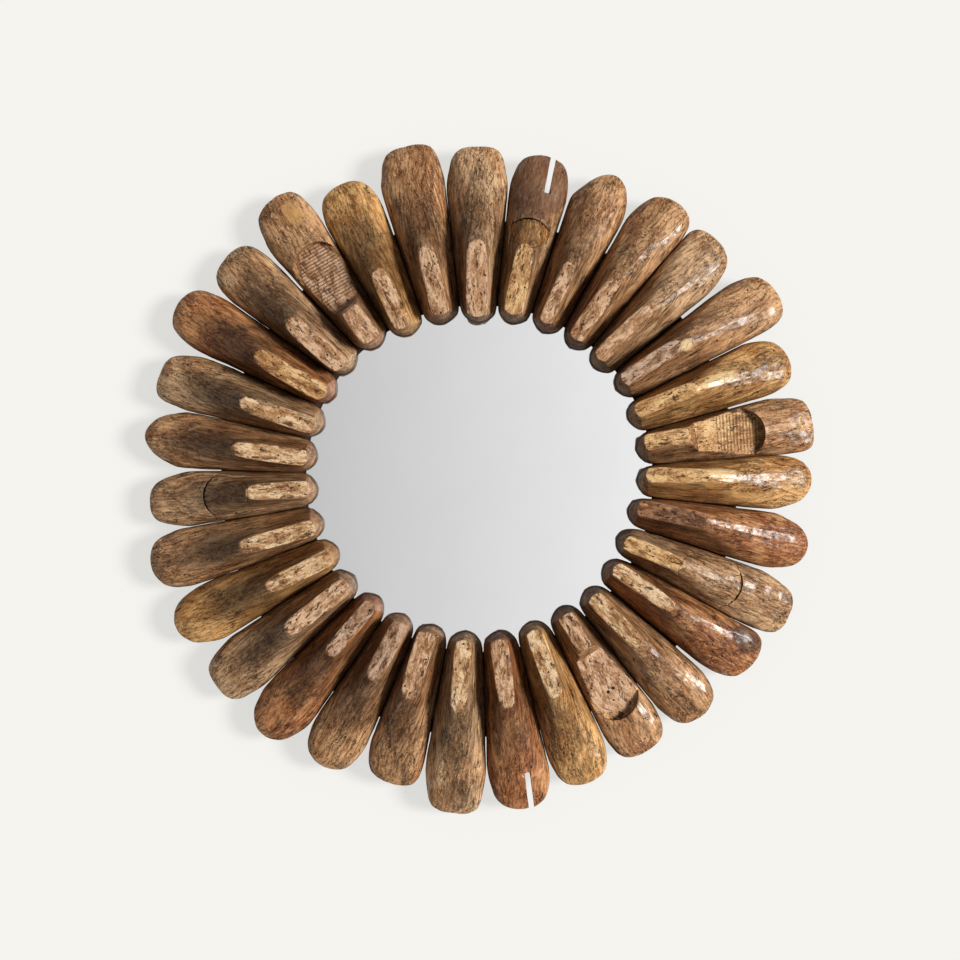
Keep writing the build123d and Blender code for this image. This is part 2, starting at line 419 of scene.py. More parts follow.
@dataclass(frozen=True)
class LastFinish:
    """Old varnished wood with a raw top, for one last."""

    name: str
    wood: WoodTone
    top: TopTone
    height: float
    front: float
    seed: int
    polish: float = 0.5
    grime: float = 0.5
    soot: float = 0.5
    marks: tuple[Mark, ...] = ()

    CRACK = (0.010, 0.005, 0.003)
    # Colour of the instep mark: soot, also laid as painted shade.
    SOOT = (0.026, 0.011, 0.006)
    RIB = (0.15, 0.062, 0.025)
    OCHRE = (0.40, 0.17, 0.055)
    UMBER = (0.13, 0.050, 0.020)
    PORE = (0.14, 0.062, 0.028)
    GOUGED = (0.07, 0.028, 0.013)
    BURNT_SHADE = 0.30
    SOOT_AHEAD, SOOT_LENGTH, SOOT_WIDTH, SOOT_FADE = 32, 120, 50, 0.7
    TOP_FRAY = 5.0
    RIM_FRAY = 16.0
    RAW_ROUGHNESS = 0.85
    RELIEF_DEPTH = 1.5 * MM
    RIB_DEPTH = 1.0 * MM
    RIB_FADE = 8

    PATCHES = Pattern((11.0, 26.0, 26.0), 4.0, 0.6, 0.9)
    BLOTS = Pattern((24.0, 62.0, 62.0), 6.0, 0.70, 0.9)
    STREAKS = Pattern((7.0, 190.0, 190.0), 6.0, 0.66, 0.8)
    DASHES = Pattern((60.0, 430.0, 430.0), 4.0, 0.68, 0.8)
    SPECKS = Pattern((330.0, 520.0, 520.0), 3.0, 0.65)
    BURNS = Pattern((8.0, 17.0, 17.0), 5.0, 0.62, 1.1, (7.0, 3.0, 5.0))
    CRACK_LINES = Pattern((8.0, 95.0, 95.0), 5.0, 0.6, 1.4)
    CRACK_AREAS = Pattern((18.0, 34.0, 34.0), 2.0)
    RING_SWAY = Pattern((8.0, 18.0, 18.0), 2.0, 0.5)
    FRAYED = Pattern((130.0, 230.0, 230.0), 5.0, 0.65)
    SOFT = Pattern((26.0, 60.0, 60.0), 5.0, 0.68)
    BARE = Pattern((45.0, 110.0, 110.0), 4.0, 0.6)
    RAW_STAINS = Pattern((32.0, 75.0, 75.0), 5.0, 0.68, 0.5)
    RAW_PORES = Pattern((260.0, 430.0, 430.0), 4.0, 0.7)
    RAW_SAW = Pattern((420.0, 40.0, 40.0), 2.0, 0.5)
    RAW_GOUGES = Pattern((60.0, 150.0, 150.0), 5.0, 0.7, 0.8)
    RAW_SHADES = Pattern((14.0, 30.0, 30.0), 4.0, 0.6, 0.8)
    WORM_HOLES = Holes(62.0, 0, 0.66, 0.11, 0.06)
    NAIL_HOLES = Holes(115.0, 1, 0.70, 0.20, 0.12)

    def varnished(self) -> bpy.types.Material:
        """Build the material of the body and of the cone's top.

        Returns:
            The material, which reads the piece's own attributes.
        """
        bench = Bench(self.name)
        grain = bench.attribute("grain")
        facing = bench.attribute("facing", "Fac")
        place = self._moved(bench, grain)
        up = bench.separate(grain)[2]
        frayed = self.FRAYED.on(bench, place)
        soft = self.SOFT.on(bench, place)

        body, relief, rough = self._body(bench, place, facing, up)
        # The dark mark ahead of the cone's top is soot with painted shade added: its strength is
        # set per last by its place round the ring.
        instep = Mark(self.front / MM + self.SOOT_AHEAD, 0, self.SOOT_LENGTH, self.SOOT_WIDTH,
                      self.SOOT, self.soot, self.SOOT_FADE)
        body = instep.on(bench, grain, soft, body)
        for mark in self.marks:
            body = mark.on(bench, grain, frayed, body)
        top, top_relief = self._raw(bench, place)
        mask = self._top_mask(bench, place, up, frayed, soft)
        colour = bench.mix(mask, body, top)
        rough_all = rough + mask * (self.RAW_ROUGHNESS - rough)
        height = relief + mask * (top_relief - relief)
        normal = bench.bump(height, self.RELIEF_DEPTH, 0.9)
        gloss = bench.clouds(place, 85.0, 5.0, 0.7).step(0.36, 0.60) * facing.step(0.12, 0.60)
        coat = (1.0 - mask) * gloss * (0.20 + 0.80 * self.polish)
        return bench.finish(colour, rough_all, normal, Coat_Weight=coat, Coat_Roughness=0.24,
                            Specular_IOR_Level=0.12)

    def sawn(self, ribs: tuple[float, float]) -> bpy.types.Material:
        """Build the raw face that is left where a cone block was sawn off.

        Args:
            ribs: from where to where saw ribs cross it, in millimetres from the centre.

        Returns:
            The face's material.
        """
        bench = Bench(self.name + "_sawn")
        grain = bench.attribute("grain")
        place = self._moved(bench, grain)
        along, across, _ = bench.separate(grain)
        colour, relief = self._raw(bench, place)
        ragged = bench.clouds(place, 150.0, 3.0, 0.6)
        low, high = ribs
        band = along.step(low * MM, (low + self.RIB_FADE) * MM)
        band = band * along.step(high * MM, (high - self.RIB_FADE) * MM)
        wave = ((along * 1250.0) + (across * 160.0) + ragged * 3.0).maths("SINE") * 0.5 + 0.5
        rib = wave.step(0.30, 0.85) * band * (ragged.step(0.36, 0.56) * 0.6 + 0.4)
        colour = bench.mix(rib * 0.74, colour, self.RIB)
        for mark in self.marks:
            colour = mark.on(bench, grain, ragged, colour)
        normal = bench.bump(relief - rib * 0.9, self.RIB_DEPTH, 0.8)
        return bench.finish(colour, 0.74, normal, Specular_IOR_Level=0.3)

    def _moved(self, bench: Bench, grain: Wire) -> Wire:
        """Where in the patterns this last lies, so that no two are alike."""
        shift = (self.seed * 0.731, self.seed * 1.117, self.seed * 0.533)
        return bench.scaled(grain, (1.0, 1.0, 1.0), shift)

    def _top_mask(self, bench: Bench, place: Wire, up: Wire, frayed: Wire, soft: Wire) -> Wire:
        """Find the part of the cone's top that has lost its varnish.

        Args:
            bench: the material's bench.
            place: the grain position, moved by the last's own offset.
            up: the height over the sole.
            frayed: fine noise for the edge.
            soft: broad noise for the outline.

        Returns:
            1 on raw wood and 0 on varnish.
        """
        level = up + (frayed - 0.5) * self.TOP_FRAY * MM
        edge = level.step(self.height - 1.6 * MM, self.height - 0.8 * MM)
        rim = bench.attribute("rim", "Fac") / MM + (soft - 0.5) * self.RIM_FRAY
        bare = self.BARE.on(bench, place).step(0.62, 0.57)
        return edge * bare * rim.step(0.2, 1.6)

    def _body(self, bench: Bench, place: Wire, facing: Wire, up: Wire) -> tuple[Wire, Wire, Wire]:
        """The varnished sides.

        Args:
            bench: the material's bench.
            place: the grain position, moved by the last's own offset.
            facing: 1 where the surface faces the room, 0 where it is upright.
            up: the height over the sole.

        Returns:
            The colour, the relief from 0 to 1 and the roughness.
        """
        worn, usual, grimy = self.wood.value
        pale = tuple(min(1.0, part * 1.3 + 0.04) for part in worn)
        deep = tuple(part * self.BURNT_SHADE for part in usual)
        patches = self.PATCHES.on(bench, place)
        blots = self.BLOTS.on(bench, place)
        streaks = self.STREAKS.on(bench, place)
        dashes = self.DASHES.on(bench, place)
        specks = self.SPECKS.on(bench, place)
        burns = self.BURNS.on(bench, place)
        rings = self._rings(bench, place)
        holes = self.WORM_HOLES.on(bench, place)
        lines = (self.CRACK_LINES.on(bench, place) - 0.5).maths("ABSOLUTE").step(0.018, 0.004)
        crack = lines * self.CRACK_AREAS.on(bench, place).step(0.45, 0.51)
        # Painted shade: the dark colour is laid on flanks that turn away from the room, most near
        # the sole, where the lasts shade one another.
        shaded = facing.step(0.62, 0.15) * (up.step(40.0 * MM, 8.0 * MM) * 0.62 + 0.24)
        tone = bench.mix(patches.step(0.42, 0.58), usual, worn)
        tone = bench.layered(tone, [
            (burns.step(0.50, 0.64) * (0.30 + 0.60 * self.grime), deep),
            (rings * 0.42, grimy),
            (streaks.step(0.51, 0.64) * 0.52, grimy),
            (streaks.step(0.46, 0.36) * 0.48, pale),
            (blots.step(0.52, 0.62) * (0.25 + 0.60 * self.grime), grimy),
            (dashes.step(0.55, 0.64) * 0.58, grimy),
            (dashes.step(0.45, 0.36) * 0.45, pale),
            (specks.step(0.56, 0.66) * 0.45, grimy),
            (specks.step(0.41, 0.32) * 0.40, pale),
            (shaded, grimy),
            (crack * 0.95, self.CRACK),
            (holes, self.CRACK),
        ])
        relief = 0.5 + (streaks - 0.5) * 0.45 + (specks - 0.5) * 0.45 + (dashes - 0.5) * 0.4
        relief = relief - holes * 0.7 - crack * 0.6 - rings * 0.05
        rough = (0.56 - 0.20 * self.polish) + (blots - 0.5) * 0.45 + (specks - 0.5) * 0.3
        return tone, relief, rough.clamped()

    def _rings(self, bench: Bench, place: Wire) -> Wire:
        """Growth rings, cut by the surface into arches and ovals.

        Args:
            bench: the material's bench.
            place: the grain position, moved by the last's own offset.

        Returns:
            1 on a ring's dark line and 0 between two lines.
        """
        sway = self.RING_SWAY.on(bench, place)
        _, across, up = bench.separate(place)
        reach = ((across * across) + (up * up)).maths("SQRT")
        wave = ((reach * 980.0) + (sway * 46.0)).maths("SINE") * 0.5 + 0.5
        return wave ** 4.0

    def _raw(self, bench: Bench, place: Wire) -> tuple[Wire, Wire]:
        """Raw sawn wood.

        Args:
            bench: the material's bench.
            place: the grain position, moved by the last's own offset.

        Returns:
            The colour and the relief from 0 to 1.
        """
        clean, stained = self.top.value
        pale = tuple(min(1.0, part * 1.2 + 0.06) for part in clean)
        stains = self.RAW_STAINS.on(bench, place)
        pores = self.RAW_PORES.on(bench, place)
        saw = self.RAW_SAW.on(bench, place)
        gouges = self.RAW_GOUGES.on(bench, place)
        shades = self.RAW_SHADES.on(bench, place)
        holes = self.NAIL_HOLES.on(bench, place)
        tone = bench.mix(stains.step(0.44, 0.56), clean, stained)
        tone = bench.layered(tone, [
            (shades.step(0.50, 0.62) * 0.55, self.OCHRE),
            (stains.step(0.55, 0.64) * 0.75, self.UMBER),
            (pores.step(0.53, 0.66) * 0.68, self.PORE),
            (pores.step(0.45, 0.34) * 0.55, pale),
            (gouges.step(0.54, 0.61) * 0.88, self.GOUGED),
            (holes * 0.95, self.CRACK),
        ])
        relief = 0.5 + (pores - 0.5) * 0.7 + (saw - 0.5) * 0.25 - holes * 0.8
        return tone, relief - gouges.step(0.58, 0.68) * 0.5


@dataclass
class LastPiece:
    """One shoe last of the ring, or its cone block, refined from its solid."""

    number: int
    wood: WoodTone
    top: TopTone
    polish: float = 0.5
    grime: float = 0.5
    marks: tuple[Mark, ...] = ()
    ribs: tuple[float, float] | None = None
    block: bool = False
    turn: float = field(init=False, default=0.0)
    tall: float = field(init=False, default=0.0)
    front: float = field(init=False, default=0.0)
    heel: float = field(init=False, default=0.0)

    SEAT_Y = -20.0 * MM
    TOP_TOLERANCE = 0.2 * MM
    # The instep mark's usual strength, and the swing by which painted shade darkens it on the lasts
    # away from the lamp.
    SOOT_USUAL, SOOT_SWING = 0.50, 0.32
    MERGE_DISTANCE = 2e-5
    QUAD_BEND = math.radians(50)
    QUAD_SKEW = math.radians(120)
    ROUNDING_LEVELS = 3
    FLAT = 0.995
    SLIGHT_BEND, SHARP_BEND = 12, 78
    SAWN_CREASE, TOP_CREASE, SOLE_CREASE = 0.55, 0.40, 0.50
    SAWN_TILT = 0.03
    SAWN_SLOPES = (0.2, 0.999)
    SAWN_AREA = 40 * MM * MM
    HEEL_REACH = 26.0 * MM
    HEEL_SOLE, HEEL_TOP = 1.5 * MM, 1.2 * MM
    HEEL_PASSES = 14
    WEAR = 0.55 * MM
    FLAT_WEAR = 0.2
    FLAT_MARGIN = 1.0 * MM
    LUMPS = ((52.0, 0.55), (23.0, 0.30), (10.0, 0.15))
    LUMP_WAVES = 4
    SWELL = 1.0 * MM
    FLANK_FROM, FLANK_OVER = 20.0, 5.0
    SLOTS = {
        WoodTone.AMBER: "last_wood_amber", WoodTone.TAN: "last_wood_brown",
        WoodTone.BROWN: "last_wood_brown", WoodTone.RED: "last_wood_red",
    }

    @property
    def node(self) -> str:
        """The name of the solid that this piece stands for."""
        return f"cone_block_{self.number:02d}" if self.block else f"last_{self.number:02d}"

    @property
    def _side(self) -> Triple:
        """The direction across the last, clockwise round the ring."""
        return math.cos(self.turn), 0.0, -math.sin(self.turn)

    def build(self, nodes: dict[str, bpy.types.Object]) -> bpy.types.Object:
        """Refine the piece, dress it and let it stand for its solid.

        Args:
            nodes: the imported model's objects by name.

        Returns:
            The finished piece.
        """
        whole = self._columns(nodes[f"last_{self.number:02d}"].data, "co")
        middle = whole.mean(axis=0)
        self.turn = math.atan2(middle[0], middle[2])
        self.tall = float(self.SEAT_Y - whole[:, 1].min())
        whole_grain = self._in_grain(whole)
        tops = whole_grain[whole_grain[:, 2] > self.tall - self.TOP_TOLERANCE]
        self.front = float(tops[:, 0].max())
        self.heel = float(whole_grain[:, 0].min())
        mesh = self._refined(nodes[self.node])
        made = bpy.data.objects.new(f"{self.node}_wood", mesh)
        bpy.context.scene.collection.objects.link(made)
        self._wear_and_grain(mesh, tops)
        # Painted shade: the instep mark is made darker on the lasts on the left of the ring, away
        # from the key lamp on the right.
        soot = self.SOOT_USUAL - self.SOOT_SWING * math.sin(self.turn)
        finish = LastFinish(f"varnished_{self.node}", self.wood, self.top, self.tall, self.front,
                            self.number, self.polish, self.grime, soot, self.marks)
        mesh.materials.append(finish.varnished())
        if self.ribs:
            mesh.materials.append(finish.sawn(self.ribs))
        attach(made, "root")
        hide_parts(self.node)
        return made

    @staticmethod
    def _columns(mesh: bpy.types.Mesh, name: str) -> np.ndarray:
        """Read a vector of every vertex.

        Args:
            mesh: the mesh.
            name: which vector, "co" for the places or "normal".

        Returns:
            The vectors, one row each.
        """
        values = np.empty(len(mesh.vertices) * 3)
        mesh.vertices.foreach_get(name, values)
        return values.reshape(-1, 3)

    def _refined(self, source: bpy.types.Object) -> bpy.types.Mesh:
        """Merge the solid's loose triangles into quads and round them by subdivision.

        Args:
            source: the solid's object, which stays as it is.

        Returns:
            The rounded mesh.
        """
        shape = bmesh.new()
        shape.from_mesh(source.data)
        bmesh.ops.remove_doubles(shape, verts=shape.verts, dist=self.MERGE_DISTANCE)
        bmesh.ops.recalc_face_normals(shape, faces=shape.faces)
        for face in shape.faces:
            face.material_index = 1 if self.ribs and self._is_sawn(face) else 0
        for edge in shape.edges:
            edge.smooth = not self._bounds_a_flat(edge)
        bmesh.ops.join_triangles(shape, faces=shape.faces, angle_face_threshold=self.QUAD_BEND,
                                 angle_shape_threshold=self.QUAD_SKEW, cmp_seam=False,
                                 cmp_sharp=True, cmp_materials=True)
        for edge in shape.edges:
            edge.smooth = True
        crease = shape.edges.layers.float.new("crease_edge")
        for edge in shape.edges:
            edge[crease] = self._sharpness(edge)
        base = bpy.data.meshes.new(self.node + "_cage")
        shape.to_mesh(base)
        shape.free()
        cage = bpy.data.objects.new(self.node + "_cage", base)
        bpy.context.scene.collection.objects.link(cage)
        rounding = cage.modifiers.new("rounding", "SUBSURF")
        rounding.levels = self.ROUNDING_LEVELS
        rounding.render_levels = self.ROUNDING_LEVELS
        view = bpy.context.evaluated_depsgraph_get()
        mesh = bpy.data.meshes.new_from_object(cage.evaluated_get(view))
        mesh.name = self.node + "_wood"
        bpy.data.objects.remove(cage)
        bpy.data.meshes.remove(base)
        self._round_heel(mesh)
        mesh.shade_smooth()
        return mesh

    def _round_heel(self, mesh: bpy.types.Mesh) -> None:
        """Rub the flats off the heel, between the sole and the cone's top.

        Args:
            mesh: the refined mesh, which is changed.
        """
        grain = self._in_grain(self._columns(mesh, "co"))
        on_heel = grain[:, 0] < self.heel + self.HEEL_REACH
        on_heel &= (grain[:, 2] > self.HEEL_SOLE) & (grain[:, 2] < self.tall - self.HEEL_TOP)
        shape = bmesh.new()
        shape.from_mesh(mesh)
        shape.verts.ensure_lookup_table()
        heel = [shape.verts[place] for place in np.flatnonzero(on_heel)]
        for _ in range(self.HEEL_PASSES):
            bmesh.ops.smooth_vert(shape, verts=heel, factor=0.5, use_axis_x=True, use_axis_y=True,
                                  use_axis_z=True)
        shape.to_mesh(mesh)
        shape.free()

    def _is_sawn(self, face: bmesh.types.BMFace) -> bool:
        """Tell the flat cut that took the cone block off from the rest of the last.

        Args:
            face: a face of the cage.

        Returns:
            Whether the face lies in the cut.
        """
        level = abs(face.normal.dot(Vector(self._side)))
        slope = -face.normal.y
        low, high = self.SAWN_SLOPES
        return level < self.SAWN_TILT and low < slope < high and face.calc_area() > self.SAWN_AREA

    def _bounds_a_flat(self, edge: bmesh.types.BMEdge) -> bool:
        """Whether an edge runs round the sole or the cone's top."""
        flats = [abs(face.normal.y) > self.FLAT for face in edge.link_faces]
        return any(flats) and not all(flats)

    def _sharpness(self, edge: bmesh.types.BMEdge) -> float:
        """Choose how sharp an edge of the cage stays when the cage is rounded.

        Args:
            edge: the edge.

        Returns:
            The crease from 0 to 1.
        """
        if len(edge.link_faces) != 2:
            return 0.0
        first, second = edge.link_faces
        bend = math.degrees(edge.calc_face_angle(0.0))
        if first.material_index != second.material_index:
            return self.SAWN_CREASE
        if min(first.normal.y, second.normal.y) < -self.FLAT and bend > self.SLIGHT_BEND:
            return self.TOP_CREASE
        if max(first.normal.y, second.normal.y) > self.FLAT and bend > self.SLIGHT_BEND:
            return self.SOLE_CREASE
        return 1.0 if bend > self.SHARP_BEND else 0.0

    def _in_grain(self, points: np.ndarray) -> np.ndarray:
        """Measure places from the mirror's centre, along the last.

        Args:
            points: the places in the frame.

        Returns:
            The places along, across and up the last.
        """
        out = np.array((math.sin(self.turn), 0.0, math.cos(self.turn)))
        side = np.array(self._side)
        return np.stack((points @ out, points @ side, self.SEAT_Y - points[:, 1]), axis=1)

    def _wear_and_grain(self, mesh: bpy.types.Mesh, tops: np.ndarray) -> None:
        """Move the surface as age has, and store what the finish reads at each point.

        Args:
            mesh: the refined mesh, which is changed.
            tops: the corners of the cone's top, along, across and up.
        """
        points = self._columns(mesh, "co")
        normals = self._columns(mesh, "normal")
        grain = self._in_grain(points)
        shifts = self._lumps(grain / MM)
        up = grain[:, 2]
        shifts[(up > self.tall - self.FLAT_MARGIN) | (up < self.FLAT_MARGIN)] *= self.FLAT_WEAR
        points = points + normals * (shifts * self.WEAR)[:, None]
        side = np.array(self._side)
        beside = np.abs(grain[:, 1]) / MM - self.FLANK_FROM
        flank = np.clip(beside / self.FLANK_OVER, 0.0, 1.0)
        points = points + (normals @ side * flank * self.SWELL)[:, None] * side
        mesh.vertices.foreach_set("co", points.ravel())
        low, high = tops[:, 1].min(), tops[:, 1].max()
        rim = (high - low) / 2 - np.abs(grain[:, 1] - (low + high) / 2)
        layer = mesh.attributes.new("grain", "FLOAT_VECTOR", "POINT")
        layer.data.foreach_set("vector", grain.astype(np.float32).ravel())
        for name, values in (("facing", np.clip(-normals[:, 1], 0.0, 1.0)), ("rim", rim)):
            layer = mesh.attributes.new(name, "FLOAT", "POINT")
            layer.data.foreach_set("value", values.astype(np.float32))
        mesh.update()

    def _lumps(self, places: np.ndarray) -> np.ndarray:
        """Smooth unevenness from about -1 to 1, from waves in several directions.

        Args:
            places: the places in the wood, in millimetres.

        Returns:
            The unevenness at each.
        """
        chance = np.random.default_rng(self.number)
        total = np.zeros(len(places))
        for length, share in self.LUMPS:
            for _ in range(self.LUMP_WAVES):
                heading = chance.normal(size=3)
                heading /= np.linalg.norm(heading)
                start = chance.uniform(0.0, 2 * math.pi)
                total += share * 0.5 * np.sin(places @ heading * (2 * math.pi / length) + start)
        return total


class Ring:
    """The thirty-one lasts, clockwise from the top, and the cone blocks."""

    PALE = (0.74, 0.52, 0.26)
    ORANGE = (0.66, 0.36, 0.13)
    SCORCHED = (0.035, 0.013, 0.008)
    DRILLED = (0.020, 0.010, 0.006)
    STAINED = (0.115, 0.042, 0.022)
    UNRIBBED = (180, 181)

    def pieces(self) -> list[LastPiece]:
        """Give each last its tones, its marks and its saw ribs.

        Returns:
            The lasts in order, then the cone blocks.
        """
        amber, tan, brown, red = WoodTone
        cream, straw, pink, grey, black = TopTone
        forepart = Mark(458, 0, 128, 110, self.STAINED, 0.72)
        drilled = (Mark(368, -5, 5, 5, self.DRILLED, 1.0), Mark(369, 4, 5, 5, self.DRILLED, 1.0))
        lasts = [
            LastPiece(1, tan, pink, 0.35, 0.35),
            LastPiece(2, tan, straw, 0.6, 0.35, (forepart,)),
            LastPiece(3, brown, pink, 0.45, 0.55),
            LastPiece(4, brown, pink, 0.4, 0.5),
            LastPiece(5, tan, pink, 0.4, 0.25),
            LastPiece(6, brown, grey, 0.4, 0.45, (Mark(360, 1, 20, 17, self.PALE, 0.9),)),
            LastPiece(7, amber, straw, 0.55, 0.45, (Mark(380, -4, 58, 17, self.PALE, 0.85),)),
            LastPiece(8, brown, straw, 0.4, 0.4, (), (352, 430)),
            LastPiece(9, amber, straw, 0.75, 0.45, (Mark(352, -9, 56, 15, self.PALE, 0.75),)),
            LastPiece(10, red, black, 0.7, 0.35, (Mark(300, 3, 90, 26, self.SCORCHED, 0.5),)),
            LastPiece(11, tan, straw, 0.38, 0.65, (Mark(330, 6, 60, 16, self.PALE, 0.6),)),
            LastPiece(12, red, cream, 0.7, 0.5, (Mark(462, -26, 52, 40, self.SCORCHED, 0.75),)),
            LastPiece(13, brown, cream, 0.75, 0.35),
            LastPiece(14, brown, pink, 0.5, 0.4, drilled, self.UNRIBBED),
            LastPiece(15, amber, cream, 0.65, 0.3),
            LastPiece(16, red, pink, 0.55, 0.6),
            LastPiece(17, tan, cream, 0.45, 0.5, (Mark(468, -8, 44, 40, self.SCORCHED, 0.45),)),
            LastPiece(18, brown, pink, 0.5, 0.5),
            LastPiece(19, brown, grey, 0.5, 0.5),
            LastPiece(20, red, grey, 0.6, 0.6),
            LastPiece(21, tan, pink, 0.5, 0.4),
            LastPiece(22, amber, cream, 0.45, 0.35),
            LastPiece(23, brown, cream, 0.5, 0.4),
            LastPiece(24, tan, cream, 0.5, 0.25),
            LastPiece(25, brown, cream, 0.5, 0.3),
            LastPiece(26, tan, cream, 0.45, 0.35),
            LastPiece(27, red, straw, 0.5, 0.5),
            LastPiece(28, tan, pink, 0.4, 0.3),
            LastPiece(29, brown, pink, 0.4, 0.55, (Mark(480, 18, 40, 26, self.ORANGE, 0.7),),
                      (330, 436)),
            LastPiece(30, amber, pink, 0.4, 0.2),
            LastPiece(31, brown, pink, 0.35, 0.45),
        ]
        blocks = [
            LastPiece(2, amber, straw, 0.6, 0.3, block=True),
            LastPiece(11, tan, straw, 0.38, 0.65, block=True),
            LastPiece(24, tan, cream, 0.5, 0.5, block=True),
        ]
        return lasts + blocks


@dataclass(frozen=True)
class Screw:
    """A countersunk screw with a cross recess, seen from the wall."""

    x: float
    z: float
    head: float
    shank: float
    length: float
    face_y: float

    SIDES = 24
    ARM_REACH = 0.62
    ARM_HALF_WIDTH = 0.16
    RECESS_TAPER = 0.6
    RECESS_DEPTH = 0.45

    def add(self, shape: bmesh.types.BMesh) -> None:
        """Add the screw to a mesh in the making.

        Args:
            shape: the mesh.
        """
        upright = Matrix.Rotation(math.radians(90), 4, "X")
        place = Matrix.Translation((self.x, self.face_y, self.z)) @ upright
        made = bmesh.ops.create_circle(shape, cap_ends=False, segments=self.SIDES,
                                       radius=self.head, matrix=place)
        rim = list(dict.fromkeys(edge for corner in made["verts"] for edge in corner.link_edges))
        sink = self.head - self.shank
        neck = self._drawn(shape, rim, self.shank / self.head, sink)
        tip = self._drawn(shape, neck, 1.0, self.length - sink)
        mouth = self._cross(shape)
        floor = self._drawn(shape, mouth, self.RECESS_TAPER, self.RECESS_DEPTH * self.head)
        bmesh.ops.edgeloop_fill(shape, edges=tip + floor)
        bmesh.ops.triangle_fill(shape, use_beauty=True, edges=rim + mouth)

    def _drawn(self, shape: bmesh.types.BMesh, loop: list[bmesh.types.BMEdge], share: float,
               depth: float) -> list[bmesh.types.BMEdge]:
        """Draw a closed loop into the board as a band of faces.

        Args:
            shape: the mesh.
            loop: the loop's edges.
            share: how wide the band's far end is beside the near one.
            depth: how far in it goes.

        Returns:
            The far end's edges.
        """
        drawn = bmesh.ops.extrude_edge_only(shape, edges=loop)["geom"]
        corners = [item for item in drawn if isinstance(item, bmesh.types.BMVert)]
        axis = Matrix.Translation((-self.x, 0.0, -self.z))
        bmesh.ops.scale(shape, vec=(share, 1.0, share), space=axis, verts=corners)
        bmesh.ops.translate(shape, vec=(0.0, -depth, 0.0), verts=corners)
        edges = [item for item in drawn if isinstance(item, bmesh.types.BMEdge)]
        return [edge for edge in edges if edge.is_boundary]

    def _cross(self, shape: bmesh.types.BMesh) -> list[bmesh.types.BMEdge]:
        """Lay out the mouth of the cross recess.

        Args:
            shape: the mesh.

        Returns:
            The edges round it.
        """
        long, short = self.ARM_REACH * self.head, self.ARM_HALF_WIDTH * self.head
        corners = []
        for quarter in range(4):
            spin = Matrix.Rotation(quarter * math.pi / 2, 2)
            for corner in ((long, -short), (long, short), (short, short)):
                right, up = spin @ Vector(corner)
                corners.append(shape.verts.new((self.x + right, self.face_y, self.z + up)))
        return [shape.edges.new(pair) for pair in zip(corners, corners[1:] + corners[:1])]


